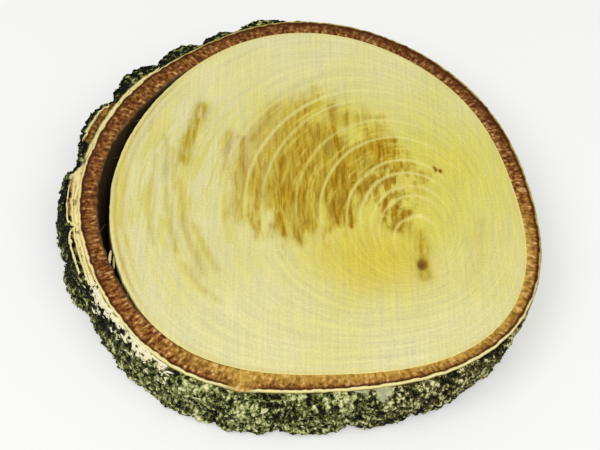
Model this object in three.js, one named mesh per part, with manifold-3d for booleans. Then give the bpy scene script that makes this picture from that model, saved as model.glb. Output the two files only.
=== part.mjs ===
// A slice of a birch trunk, sawn straight across, with its bark still on.
// Millimetres, +Z up. The slice lies flat with its sawn underside on z = 0, and the origin is the
// middle of its bounding box. The saw didn't meet the trunk quite squarely, so the trunk's own line
// leans a little to the left on its way from the top face down to the underside.
//
// The slice grew as one piece, so it is one solid: wood inside, a ring of bark round it, and on the
// left a crack where the bark has dried and come away from the wood, right through the slice.

import * as THREE from "three";
import { mergeVertices } from "three/addons/utils/BufferGeometryUtils.js";
import Module from "manifold-3d";

// Driving dimensions. Angles are in degrees round the trunk's centre, from +X towards +Y.
const thickness = 15;
const woodRadius = 49.4; // mean radius of the bare wood, under the bark
const lean = { x: -3.2, y: 0.6 }; // how far the underside is to the side of the top face
const taper = 0.8; // how much smaller the underside's radius is

// The wood isn't round: each lobe adds rise * cos(count * (angle - peak)) to its radius.
const woodLobes = [
  { count: 2, rise: 2.5, peak: -73 },
  { count: 3, rise: 1.9, peak: -30 },
  { count: 4, rise: 0.75, peak: -41 },
  { count: 5, rise: 0.6, peak: 27 },
];

// The crack between wood and bark, widest at its middle and closed at both ends.
const crack = { width: 3, start: 118, middle: 172, end: 232 };

// Inner bark and its papery skin: a mean thickness, more of it on one side, and two places where it
// differs.
const innerBark = { thickness: 4.2, more: 0.3, towards: 200 };
const innerBarkChanges = [
  { at: 240, reach: 30, rise: 0.5 },
  { at: 312, reach: 60, rise: -1.2 },
];

// Dead outer bark, in thick corky plates. Each reaches that many degrees to each side of its middle,
// and stands that far out. From 325 round to 90 degrees the bark is thin and smooth, with no plates.
const barkPlates = [
  { at: 94, reach: 3, rise: 1.0 },
  { at: 104, reach: 6, rise: 3.0 },
  { at: 116, reach: 5, rise: 2.3 },
  { at: 127, reach: 6, rise: 4.0 },
  { at: 140, reach: 8, rise: 5.5 },
  { at: 156, reach: 10, rise: 4.7 },
  { at: 168, reach: 6, rise: 2.0 },
  { at: 181, reach: 10, rise: 4.3 },
  { at: 198, reach: 9, rise: 3.4 },
  { at: 213, reach: 8, rise: 1.5 },
  { at: 228, reach: 9, rise: 1.6 },
  { at: 243, reach: 8, rise: 2.4 },
  { at: 258, reach: 9, rise: 3.6 },
  { at: 273, reach: 9, rise: 3.9 },
  { at: 288, reach: 8, rise: 3.5 },
  { at: 301, reach: 8, rise: 2.7 },
  { at: 313, reach: 7, rise: 1.7 },
  { at: 322, reach: 5, rise: 0.7 },
];

// At the back and the left the plates end flush with the top face. Round the rest of the slice their
// top edges are chipped back.
const flushPlates = { middle: 145, reach: 90 };
const chippedShare = 0.8; // of a plate's rise, lost at a chipped top edge
const chipDepth = 2.4; // down from the sawn face
const footShare = 0.35; // of a plate's rise, lost at the underside
const footDepth = 1.6;

// Facets
const anglesRound = 240;
const wallLevels = [0, 0.7, 1.6, 4.5, 8, 11, 12.6, 14.2, thickness];
const crackAngles = 56;
const crackOverrun = 1; // how far the cutting tool sticks out above and below

const radians = THREE.MathUtils.degToRad;

// The angle from one direction to another, from -180 to 180 degrees.
function turnFrom(from, to) {
  return THREE.MathUtils.euclideanModulo(to - from + 180, 360) - 180;
}

// 1 at the middle of a bump and 0 from its reach outwards, with no corner at either.
function bump(offset, reach) {
  const share = Math.min(1, Math.abs(offset) / reach);
  return Math.cos((share * Math.PI) / 2) ** 2;
}

// The same, with a broad top and steep sides, as a bark plate has.
function plateau(offset, reach) {
  const share = Math.min(1, Math.abs(offset) / reach);
  return 1 - share ** 4;
}

function woodEdge(angle) {
  return woodLobes.reduce(
    (radius, lobe) =>
      radius + lobe.rise * Math.cos(radians(lobe.count * (angle - lobe.peak))),
    woodRadius,
  );
}

function crackWidth(angle) {
  const offset = turnFrom(crack.middle, angle);
  const reach =
    offset < 0 ? crack.middle - crack.start : crack.end - crack.middle;
  return crack.width * bump(offset, reach);
}

function innerBarkThickness(angle) {
  const side =
    innerBark.more * Math.cos(radians(turnFrom(innerBark.towards, angle)));
  return innerBarkChanges.reduce(
    (sum, change) =>
      sum + change.rise * bump(turnFrom(change.at, angle), change.reach),
    innerBark.thickness + side,
  );
}

function plateRise(angle) {
  return Math.max(
    0,
    ...barkPlates.map(
      (plate) => plate.rise * plateau(turnFrom(plate.at, angle), plate.reach),
    ),
  );
}

// How much of a plate's rise is left at a height, from 0 to 1.
function plateShare(angle, z) {
  const flush = bump(turnFrom(flushPlates.middle, angle), flushPlates.reach);
  const lostAtTop =
    chippedShare *
    (1 - flush) *
    THREE.MathUtils.smoothstep(z, thickness - chipDepth, thickness);
  const lostAtFoot =
    footShare * (1 - THREE.MathUtils.smoothstep(z, 0, footDepth));
  return 1 - lostAtTop - lostAtFoot;
}

function barkEdge(angle, z) {
  return (
    woodEdge(angle) -
    (taper * (thickness - z)) / thickness +
    crackWidth(angle) +
    innerBarkThickness(angle) +
    plateRise(angle) * plateShare(angle, z)
  );
}

// How far a leaning trunk has gone to the side at a height, from nothing at the sawn top face.
function leanAt(z) {
  const share = (thickness - z) / thickness;
  return new THREE.Vector2(lean.x, lean.y).multiplyScalar(share);
}

// Leans a geometry that was made square to the sawn faces.
function leanOver(geometry) {
  const position = geometry.getAttribute("position");
  for (let i = 0; i < position.count; i++) {
    const shift = leanAt(position.getZ(i));
    position.setX(i, position.getX(i) + shift.x);
    position.setY(i, position.getY(i) + shift.y);
  }
  return geometry;
}

// The whole slice before it cracked: a cylinder whose rim follows the bark at each level.
function trunkGeometry() {
  const geometry = new THREE.CylinderGeometry(
    1,
    1,
    1,
    anglesRound,
    wallLevels.length - 1,
  );
  geometry.rotateX(Math.PI / 2);
  const position = geometry.getAttribute("position");
  for (let i = 0; i < position.count; i++) {
    const x = position.getX(i);
    const y = position.getY(i);
    const level = Math.round((position.getZ(i) + 0.5) * (wallLevels.length - 1));
    const z = wallLevels[level];
    const onRim = Math.hypot(x, y) > 0.5;
    const angle = THREE.MathUtils.radToDeg(Math.atan2(y, x));
    const radius = onRim ? barkEdge(angle, z) : 0;
    position.setXYZ(
      i,
      radius * Math.cos(radians(angle)),
      radius * Math.sin(radians(angle)),
      z,
    );
  }
  return leanOver(geometry);
}

// The crack's own space: a crescent between the wood and the bark that came away from it.
function crackGeometry() {
  const step = (crack.end - crack.start) / crackAngles;
  const woodSide = [];
  const barkSide = [];
  for (let i = 0; i <= crackAngles; i++) {
    const angle = crack.start + i * step;
    const direction = new THREE.Vector2(
      Math.cos(radians(angle)),
      Math.sin(radians(angle)),
    );
    const inner = woodEdge(angle);
    woodSide.push(direction.clone().multiplyScalar(inner));
    barkSide.push(direction.clone().multiplyScalar(inner + crackWidth(angle)));
  }
  // The two sides share their first and last points, where the crack closes.
  const outline = [...woodSide, ...barkSide.slice(1, -1).reverse()];
  const geometry = new THREE.ExtrudeGeometry(new THREE.Shape(outline), {
    depth: thickness + 2 * crackOverrun,
    bevelEnabled: false,
  });
  return leanOver(geometry.translate(0, 0, -crackOverrun));
}

// manifold-3d works on closed meshes with one vertex at each corner.
const wasm = await Module();
wasm.setup();

function toSolid(geometry) {
  const bare = geometry.index ? geometry.toNonIndexed() : geometry.clone();
  bare.deleteAttribute("normal");
  bare.deleteAttribute("uv");
  const merged = mergeVertices(bare, 1e-4);
  return new wasm.Manifold(
    new wasm.Mesh({
      numProp: 3,
      vertProperties: new Float32Array(merged.getAttribute("position").array),
      triVerts: new Uint32Array(merged.index.array),
    }),
  );
}

function toGeometry(solid) {
  const mesh = solid.getMesh();
  const geometry = new THREE.BufferGeometry();
  geometry.setAttribute(
    "position",
    new THREE.BufferAttribute(new Float32Array(mesh.vertProperties), 3),
  );
  geometry.setIndex(new THREE.BufferAttribute(new Uint32Array(mesh.triVerts), 1));
  geometry.computeVertexNormals();
  return geometry;
}

function woodSlice() {
  const solid = toSolid(trunkGeometry()).subtract(toSolid(crackGeometry()));
  const geometry = toGeometry(solid);
  geometry.computeBoundingBox();
  const middle = geometry.boundingBox.getCenter(new THREE.Vector3());
  geometry.translate(-middle.x, -middle.y, 0);
  const birch = new THREE.MeshStandardMaterial({
    color: 0xe0d88d,
    roughness: 0.65,
    metalness: 0,
  });
  const slice = new THREE.Mesh(geometry, birch);
  slice.name = "wood_slice";
  return slice;
}

const part = new THREE.Group();
part.add(woodSlice());

export default part;
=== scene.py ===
import math
from functools import partial

import bpy
import numpy as np
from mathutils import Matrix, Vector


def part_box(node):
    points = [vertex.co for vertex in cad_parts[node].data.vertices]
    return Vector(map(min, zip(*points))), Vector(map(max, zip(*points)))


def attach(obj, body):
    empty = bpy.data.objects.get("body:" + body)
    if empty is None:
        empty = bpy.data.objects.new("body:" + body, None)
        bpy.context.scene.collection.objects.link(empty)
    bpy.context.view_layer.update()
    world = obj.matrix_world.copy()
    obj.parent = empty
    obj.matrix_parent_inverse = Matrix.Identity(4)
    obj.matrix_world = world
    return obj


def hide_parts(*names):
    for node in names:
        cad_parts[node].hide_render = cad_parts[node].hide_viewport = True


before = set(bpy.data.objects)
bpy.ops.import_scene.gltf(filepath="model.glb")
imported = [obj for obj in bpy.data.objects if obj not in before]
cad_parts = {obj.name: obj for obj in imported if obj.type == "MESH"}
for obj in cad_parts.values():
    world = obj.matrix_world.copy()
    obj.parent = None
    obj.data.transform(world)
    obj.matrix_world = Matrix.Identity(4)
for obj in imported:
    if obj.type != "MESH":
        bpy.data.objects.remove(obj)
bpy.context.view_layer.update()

mm = 0.001
white = (1, 1, 1, 1)

# the trunk as it grew, in mm and degrees round its own centre, from +X towards +Y
trunk = {
    "woodRadius": 49.4,
    "lobes": ((2, 2.5, -73), (3, 1.9, -30), (4, 0.75, -41), (5, 0.6, 27)),  # count, rise, peak
    "lean": (-3.2, 0.6),  # how far the underside is to the side of the top face
    "taper": 0.8,  # how much smaller the underside's radius is
    "crackWidth": 3.0,
    "crackSpan": (118, 172, 232),  # where it starts, is widest and ends
    "crackFoot": -0.08,  # share of its width left at the underside: less than none, so it closes
    "innerBark": (4.2, 0.3, 200),  # thickness, how much more on one side, and which side
    "innerBarkChanges": ((240, 30, 0.5), (312, 60, -1.2)),  # where, reach, rise
    "innerBarkSwellings": ((141, 27, 1.3), (253, 5, 0.55)),  # places where it pushes into the plates
    "barkMean": 54,  # the bark's mean radius, on which noises are read
    # corky plates: where, reach, rise
    "plates": ((94, 3, 1.0), (104, 6, 3.0), (116, 5, 2.3), (127, 6, 4.0), (140, 8, 5.5),
               (156, 10, 4.7), (168, 6, 2.0), (181, 10, 4.3), (198, 9, 3.4), (213, 8, 1.5),
               (228, 9, 1.6), (243, 8, 2.4), (258, 9, 3.6), (273, 9, 3.9), (288, 8, 3.5),
               (301, 8, 2.7), (313, 7, 1.7), (322, 5, 0.7)),
    "flushPlates": (145, 90),  # middle and reach of the side where plates end flush on top
    "chipped": (0.8, 2.4),  # share of a plate lost at its chipped top edge, and how far down
    "foot": (0.35, 1.6),  # share lost at the underside, and how far up
}


# an sRGB hex value as the linear colour that a shader socket wants
def linearColour(hexValue):
    channels = [int(hexValue[i:i + 2], 16) / 255 for i in (1, 3, 5)]
    return tuple(c / 12.92 if c <= 0.04045 else ((c + 0.055) / 1.055) ** 2.4 for c in channels) + (1,)


# all the hex values of a look by name
def coloursOf(look):
    return {name: linearColour(value) for name, value in look.items() if isinstance(value, str)}


# the shorter turn from one angle to another, from -180 to 180
def turnFrom(middle, angle):
    return (angle - middle + 180) % 360 - 180


# 1 at the middle and 0 from the reach outwards: cosine squared of a quarter turn times the reach's share
def bump(offset, reach):
    return np.cos(np.minimum(1, np.abs(offset) / reach) * np.pi / 2) ** 2


# the sum of a trunk list's bumps, each a rise at an angle with a reach
def bumps(angle, listed):
    return sum(rise * bump(turnFrom(at, angle), reach) for at, reach, rise in trunk[listed])


# like a bump with a broad top: one minus the share to the fourth power
def plateau(offset, reach):
    return 1 - np.minimum(1, np.abs(offset) / reach) ** 4


# 0 below low, 1 above high, and 3t^2 - 2t^3 between; low above high turns it round
def smoothStep(value, low, high):
    t = np.clip((value - low) / (high - low), 0, 1)
    return t * t * (3 - 2 * t)


# 1 between two angles, fading over a few degrees at both ends
def span(angle, start, end, fade=3):
    half = (end - start) / 2
    return smoothStep(np.abs(turnFrom(start + half, angle)), half + fade / 2, half - fade / 2)


# the wood's radius: a mean radius plus a cosine for each lobe
def woodEdge(angle):
    lobes = [rise * np.cos(np.radians(count * (angle - peak))) for count, rise, peak in trunk["lobes"]]
    return trunk["woodRadius"] + sum(lobes)


# the gap's width: a bump with a reach of its own to each side of its widest place
def crackWidth(angle):
    start, middle, end = trunk["crackSpan"]
    offset = turnFrom(middle, angle)
    return trunk["crackWidth"] * bump(offset, np.where(offset < 0, middle - start, end - middle))


# living bark with its papery skin: a thickness, a cosine round the trunk, and a bump for each change
def innerBarkThickness(angle):
    thickness, more, towards = trunk["innerBark"]
    return thickness + more * np.cos(np.radians(angle - towards)) + bumps(angle, "innerBarkChanges")


# how far the living bark pushes out under the plates: a bump for each swelling
def innerBarkSwelling(angle):
    return bumps(angle, "innerBarkSwellings")


# how far the plates stand out: the highest plateau at that angle
def plateRise(angle):
    rises = [rise * plateau(turnFrom(at, angle), reach) for at, reach, rise in trunk["plates"]]
    return np.maximum(0, np.max(rises, axis=0))


# 1 on the side where the plates reach the top face
def flushShare(angle):
    middle, reach = trunk["flushPlates"]
    return bump(turnFrom(middle, angle), reach)


# what is left of a plate's rise at a height: less at a chipped top edge and at the foot
def plateShare(angle, height):
    chippedShare, chipDepth = trunk["chipped"]
    footShare, footDepth = trunk["foot"]
    top = cut["thickness"]
    lostAtTop = chippedShare * (1 - flushShare(angle)) * smoothStep(height, top - chipDepth, top)
    return 1 - lostAtTop - footShare * (1 - smoothStep(height, 0, footDepth))


# how much smaller a radius is at a height, in proportion to its depth below the top face
def taperAt(height):
    return trunk["taper"] * (1 - height / cut["thickness"])


# the living bark's outside where nothing swells: the wood's radius, the gap and the bark added up
def barkBase(angle, height):
    return woodEdge(angle) - taperAt(height) + crackWidth(angle) + innerBarkThickness(angle)


# from round the trunk to the slice's own place in metres: out along the angle from the leaning centre
def place(radius, angle, height):
    depth = 1 - height / cut["thickness"]
    x = radius * np.cos(np.radians(angle)) + trunk["lean"][0] * depth + cut["centre"][0]
    y = radius * np.sin(np.radians(angle)) + trunk["lean"][1] * depth + cut["centre"][1]
    return np.stack(np.broadcast_arrays(x, y, height), axis=-1) * mm


# a point round the trunk for noises to read: out along the angle, by the bark's mean radius if no other
def roundTrunk(angle, level, radius=trunk["barkMean"]):
    x, y = radius * np.cos(np.radians(angle)), radius * np.sin(np.radians(angle))
    return np.stack(np.broadcast_arrays(x, y, level), axis=-1)


# the cut: its thickness, and where the trunk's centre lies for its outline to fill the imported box
low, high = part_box("wood_slice")
cut = {"thickness": (high.z - low.z) / mm, "centre": (0.0, 0.0)}
packed = {"step": 1.5, "heights": (0, 1.6, 4.5, 8, 11, 12.6, 15)}  # the plain solid's columns and rows
gridAngles, gridHeights = np.meshgrid(np.arange(0, 360, packed["step"]), packed["heights"])
plateRadii = plateRise(gridAngles) * plateShare(gridAngles, gridHeights)
gridRadii = barkBase(gridAngles, gridHeights) + plateRadii
outline = place(gridRadii, gridAngles, gridHeights).reshape(-1, 3) / mm
boxMiddle = (np.array(low) + np.array(high))[:2] / 2 / mm
cut["centre"] = tuple(boxMiddle - (outline.min(0) + outline.max(0))[:2] / 2)
print("slice", cut)


# a repeatable random number from 0 to 1 for each whole-number lattice point
def latticeValue(ix, iy, iz, seed):
    h = (ix * 374761393 + iy * 668265263 + iz * 1440670441 + seed * 974634777) & 0xFFFFFFFF
    h = ((h ^ (h >> 13)) * 1274126177) & 0xFFFFFFFF
    h = ((h ^ (h >> 16)) * 2246822519) & 0xFFFFFFFF
    return ((h ^ (h >> 15)) & 0xFFFFFF) / 0xFFFFFF


# value noise from -1 to 1: lattice values blended with a quintic along each axis
def smoothNoise(points, size, seed):
    p = points / np.asarray(size, float)
    cell = np.floor(p).astype(np.int64)
    f = p - cell
    w = f * f * f * (f * (f * 6 - 15) + 10)
    total = np.zeros(p.shape[:-1])
    for dx in (0, 1):
        for dy in (0, 1):
            for dz in (0, 1):
                share = (np.where(dx, w[..., 0], 1 - w[..., 0]) * np.where(dy, w[..., 1], 1 - w[..., 1])
                         * np.where(dz, w[..., 2], 1 - w[..., 2]))
                total += share * latticeValue(*np.moveaxis(cell + (dx, dy, dz), -1, 0), seed)
    return total * 2 - 1


# several noises added, each half the size and a share of the strength of the one before
def layeredNoise(points, size, seed, layers=3, share=0.5):
    size = np.asarray(size, float)
    parts = [smoothNoise(points, size / 2 ** i, seed + 31 * i) * share ** i for i in range(layers)]
    return sum(parts) / sum(share ** i for i in range(layers))


# distances to the nearest and next nearest of the points scattered one to a cell
def nearestTwo(points, size, seed):
    p = points / np.asarray(size, float)
    cell = np.floor(p).astype(np.int64)
    first = np.full(p.shape[:-1], 9.0)
    second = first.copy()
    for dx in (-1, 0, 1):
        for dy in (-1, 0, 1):
            for dz in (-1, 0, 1):
                c = cell + (dx, dy, dz)
                spot = np.stack([c[..., k] + latticeValue(*np.moveaxis(c, -1, 0), seed + 7 * k)
                                 for k in range(3)], axis=-1)
                away = np.sqrt(((p - spot) ** 2).sum(-1))
                second = np.minimum(second, np.maximum(first, away))
                first = np.minimum(first, away)
    return first, second


# closed shells from grids of points, one grid to a shell, or from just one grid; columns run right round:
# capped shells shrink their first and last rows to one point each, and in others rows run round too
def gridMesh(name, grids, capped, values):
    if grids.ndim == 3:
        grids, values = grids[None], {key: value[None] for key, value in values.items()}
    count, rows, columns = grids.shape[:3]
    across = np.roll(grids, -1, axis=2) - grids
    along = np.roll(grids, -1, axis=1) - grids
    middle = grids.mean((1, 2), keepdims=True)
    inward = (np.cross(along, across) * (grids - middle)).sum(-1)[:, :-1].sum((1, 2)) > 0
    ordered = {key: np.broadcast_to(v, grids.shape[:3] + np.shape(v)[3:]) for key, v in values.items()}
    ordered["place"] = grids
    for key, v in ordered.items():
        turned = np.where(inward.reshape((-1,) + (1,) * (v.ndim - 1)), v[:, :, ::-1], v)
        if capped:
            turned = np.concatenate([turned[:, :1, 0], turned[:, 1:-1].reshape((count, -1) + v.shape[3:]),
                                     turned[:, -1:, 0]], axis=1)
        ordered[key] = np.ascontiguousarray(turned.reshape((-1,) + v.shape[3:]), np.float32)
    if capped:
        index = np.arange((rows - 2) * columns).reshape(rows - 2, columns) + 1
        beside = np.roll(index, -1, axis=1)
        last = (rows - 2) * columns + 1
        quads = np.stack([index[:-1], beside[:-1], beside[1:], index[1:]], axis=-1).reshape(-1, 4)
        fans = np.concatenate([np.stack([np.zeros(columns, int), beside[0], index[0]], axis=-1),
                               np.stack([np.full(columns, last), index[-1], beside[-1]], axis=-1)])
    else:
        index = np.arange(rows * columns).reshape(rows, columns)
        below = np.roll(index, -1, axis=0)
        quads = np.stack([index, np.roll(index, -1, axis=1), np.roll(below, -1, axis=1), below], axis=-1)
        quads, fans, last = quads.reshape(-1, 4), np.zeros((0, 3), int), rows * columns - 1
    shift = np.arange(count)[:, None, None] * (last + 1)
    quads, fans = (quads + shift).reshape(-1, 4), (fans + shift).reshape(-1, 3)
    corners = np.concatenate([quads.ravel(), fans.ravel()])
    starts = np.concatenate([np.arange(len(quads)) * 4, len(quads) * 4 + np.arange(len(fans)) * 3])
    mesh = bpy.data.meshes.new(name)
    mesh.vertices.add(len(ordered["place"]))
    mesh.vertices.foreach_set("co", ordered.pop("place").ravel())
    mesh.loops.add(len(corners))
    mesh.loops.foreach_set("vertex_index", corners.astype(np.int32))
    mesh.polygons.add(len(starts))
    mesh.polygons.foreach_set("loop_start", starts.astype(np.int32))
    mesh.polygons.foreach_set("use_smooth", np.ones(len(starts), bool))
    mesh.update(calc_edges=True)
    for key, value in ordered.items():
        kind, field = ("FLOAT_VECTOR", "vector") if value.ndim == 2 else ("FLOAT", "value")
        mesh.attributes.new(key, kind, "POINT").data.foreach_set(field, value.ravel())
    piece = bpy.data.objects.new(name, mesh)
    bpy.context.scene.collection.objects.link(piece)
    print(name, len(quads) * 2 + len(fans), "triangles")
    return piece


# settings that many nodes share: a product, a product with something added, a soft step, a colour mix
times, plus = {"operation": "MULTIPLY"}, {"operation": "MULTIPLY_ADD"}
eased, asColour = {"interpolation_type": "SMOOTHSTEP"}, {"data_type": "RGBA", "out": 2}


# one node with its settings and links: inputs go by place or by name, a socket is linked and a value set
def addNode(tree, kind, inputs=(), out=0, **settings):
    node = tree.nodes.new("ShaderNode" + kind)
    for key, value in settings.items():
        setattr(node, key, value)
    for key, value in (inputs.items() if isinstance(inputs, dict) else enumerate(inputs)):
        if isinstance(value, bpy.types.NodeSocket):
            tree.links.new(value, node.inputs[key])
        else:
            node.inputs[key].default_value = value
    return node.outputs[out]


# a new material and what adds nodes to it: a roughness, an ordinary index of refraction, and how much of
# the usual gloss is left on a surface as fibrous as this
def newMaterial(name, roughness, gloss=0.15):
    material = bpy.data.materials.new(name)
    material.use_nodes = True
    shader = material.node_tree.nodes["Principled BSDF"].inputs
    for socket, value in (("Roughness", roughness), ("IOR", 1.5), ("Specular IOR Level", gloss)):
        shader[socket].default_value = value
    return material, partial(addNode, material.node_tree)


# the colour goes to the shader, and so does a height, as a bump of a strength and a depth in mm
def joinShader(material, add, colour, height, strength, depth):
    bumped = add("Bump", {"Height": height, "Strength": strength, "Distance": depth * mm})
    shader = material.node_tree.nodes["Principled BSDF"].inputs
    material.node_tree.links.new(colour, shader["Base Color"])
    material.node_tree.links.new(bumped, shader["Normal"])
    return material


# the piece rides with the slice, stands in for its plain solid and takes a slot's finish
def finishPiece(piece, material):
    piece.data.materials.append(material)
    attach(piece, "root")
    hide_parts("wood_slice")


# the camera: level, square to the slice, looking down on it through a long lens
viewpoint = {"lens": 84, "sensor": 36, "position": (1.635, -205.2, 264.49), "down": 52}
camera = bpy.data.objects.new("camera", bpy.data.cameras.new("camera"))
camera.data.lens = viewpoint["lens"]
camera.data.sensor_width = viewpoint["sensor"]
camera.location = [v * mm for v in viewpoint["position"]]
camera.rotation_euler = (math.radians(90 - viewpoint["down"]), 0, 0)
bpy.context.scene.collection.objects.link(camera)
bpy.context.scene.camera = camera
print("camera ready")

# the sawn wood: its year rings begin at a pith far to one side and spread towards the other
wood = {
    "pith": (23.53, -20.25),  # from the trunk's centre
    "climb": 0.93,  # how fast the rings' centre climbs at first, per mm of ring radius
    "narrowest": 0.7,  # the smallest rings' width as a share of their height
    "pithOval": (0.4, 1.45),  # how far its middle is above the rings' own, and its height over its width
    "topRows": 170,
    "undersideRows": 70,
    "angles": 360,
    "rimRound": 0.25,  # rounding of the sawn edge
    "wallRows": 7,
    "hollow": 0.5,  # depth of the dried-out pith
    "swell": (0.08, 14),  # rise and size of the top face's slow waves
    "tornRim": (0.22, (2.2, 2.2, 6)),  # how far the rim wanders where bark has torn away, and the size
    "goldenZone": ((13, -19), (12, 10.5)),  # middle and reach of the golden heartwood by the pith
    "yellowZone": ((18.5, 4), (35, 30)),  # and of the broad yellow zone round it
    "lowPatch": ((5.5, 1), (3, 8)),  # and of the stain's deepest patch
    # gold near the rim: its strength where bark holds and how much more where it is torn, then its
    # distance from the rim and its width
    "rimGold": ((0.1, 0.7, 1.0, 0.5), (0, 0.4, 3, 0.6), (0.4, -0.4, 0.1, 0.5)),
    "underFace": 40.0,  # where the noises for the underside are read
}

# the brown stain, in ring radius and angle round the ring: where it starts and ends on each ring
stain = {
    "ring": (6, 9, 12, 14, 16.3, 17, 21.4, 22.2, 25, 27, 29, 32, 38),
    "start": (112, 98, 86, 76, 80, 88, 92, 110, 116, 114, 112, 108, 118),
    "end": (160, 158, 156, 154, 158, 186, 187, 190, 193, 200, 194, 181, 172),
    "strength": (0.9, 0.85, 0.85, 0.95, 0.95, 1.0, 1.0, 0.85, 0.9, 0.95, 0.9, 0.85, 0.0),
    "depth": (0.95, 0.9, 0.85, 0.8, 0.65, 0.35, 0.3, 0.2, 0.3, 0.35, 0.25, 0.15, 0.1),
    "ragged": 26,  # how many degrees its ends wander
}

# single streaks on the sawn face, from the trunk's centre: width, strength and the points they follow
darkStreaks = (
    (1.1, 0.5, ((-17.2, 17.5), (-16.6, 9), (-15.4, 0.8))),
    (0.9, 0.75, ((-7.6, 15), (-8, 4), (-7.4, -5.5), (-7, -11.5))),
    (1.1, 0.4, ((-3.2, 19), (-4, 8))),
    (0.75, 0.9, ((4.6, 21), (6, 12), (7.4, -1), (8.3, -9))),
    (1.3, 0.55, ((4.2, 27.6), (4.9, 22))),
    (1.9, 0.4, ((-9.3, 27.5), (-12, 21.5), (-14.5, 17))),
    (1.1, 0.35, ((-20.4, 19), (-20.6, 8))),
    (1.0, 0.35, ((-5.4, 13), (-6, 0))),
    (1.1, 0.3, ((0.4, 23), (-1, 12))),
    (1.1, 0.5, ((-5.3, -5), (-4.7, -12))),
    (1.6, 0.5, ((3.2, 5), (3.6, -6.5))),
    (1.2, 0.55, ((6.2, 8), (7, -3))),
    (1.0, 0.35, ((-11.5, 4), (-10.6, -3))),
    (0.9, 0.35, ((-1.4, 2), (-0.9, -5))),
    (1.3, 0.9, ((18.4, -9.6), (20, -6.8), (21, -5.2))),
    (0.9, 0.85, ((18.2, -5.8), (18.9, -3.4))),
    (0.9, 0.9, ((15.8, -5), (16.3, -1.5))),
    (0.8, 0.8, ((10.2, 2), (11.5, 5.4))),
    (0.8, 0.7, ((11.8, 7.4), (13.6, 9))),
    (0.6, 0.7, ((15.3, 4), (16.3, 8.5))),
    (0.8, 0.6, ((13.6, 1), (14.6, 3.4))),
    (0.5, 1.2, ((8.4, 3.9), (8.8, 3.6))),
    (0.42, 1.6, ((27.9, 8.1), (28.3, 7.3))),
    (0.36, 1.5, ((29.2, 7.4), (29.3, 6.9))),
)
goldStreaks = (
    (1.7, 1.2, ((-27.0, 27.4), (-27.6, 24))),
    (1.6, 1.25, ((-27.6, 25), (-28.8, 20.5), (-30.2, 16), (-30.8, 10.5))),
    (0.8, 0.5, ((-35.4, 18), (-34.4, 2), (-32.8, -8), (-31, -16))),
    (1.0, 0.55, ((-31.4, 4), (-30.2, -6), (-27.6, -15), (-25, -22.5))),
    (0.9, 0.5, ((-27, -9), (-24.6, -16), (-22, -21))),
    (0.9, 0.45, ((-29, -20), (-25.5, -26), (-21.5, -29.5))),
    (0.9, 0.45, ((-33.4, 14), (-32.6, 2))),
    (0.8, 0.4, ((-37.4, 12), (-38, -4), (-36.4, -14))),
    (1.3, 0.9, ((23.2, -11), (24, -14.5))),
    (1.5, 1.1, ((23.8, -15), (24, -18))),
    (1.8, 0.2, ((37.6, -8), (37, -17), (34, -25))),
    (1.5, 1.2, ((23.8, -18), (24, -23))),
)


# a year ring: the outline's lobes fade towards the pith, and its centre climbs by a tanh and drifts
# sideways by a square, so that the last ring is the outline itself
def ringPoint(radius, angle):
    whole = trunk["woodRadius"]
    share = radius / whole
    px, py = wood["pith"]
    climb = -py * np.tanh(wood["climb"] * radius / -py) / np.tanh(wood["climb"] * whole / -py)
    width = wood["narrowest"] + (1 - wood["narrowest"]) * share
    shape = 1 + (woodEdge(angle) / whole - 1) * share ** 1.5
    x = px * (1 - share ** 2) + radius * width * shape * np.cos(np.radians(angle))
    y = py + climb + radius * shape * np.sin(np.radians(angle))
    return x, y


# streaks drawn along paths: each is the strength times e to minus the square of distance over width
def drawStreaks(x, y, streaks):
    total = np.zeros(x.shape)
    for width, strength, path in streaks:
        nearest = np.full(x.shape, 99.0)
        for (ax, ay), (bx, by) in zip(path[:-1], path[1:]):
            dx, dy = bx - ax, by - ay
            along = np.clip(((x - ax) * dx + (y - ay) * dy) / (dx ** 2 + dy ** 2), 0, 1)
            nearest = np.minimum(nearest, np.hypot(x - ax - along * dx, y - ay - along * dy))
        total = np.maximum(total, strength * np.exp(-(nearest / width) ** 2))
    return total


# 1 in the middle of an oval zone, falling off as e to minus a power of the square of distance over reach
def ovalZone(x, y, zone, power=1.2):
    (middleX, middleY), (reachX, reachY) = zone
    return np.exp(-(((x - middleX) / reachX) ** 2 + ((y - middleY) / reachY) ** 2) ** power)


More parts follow.
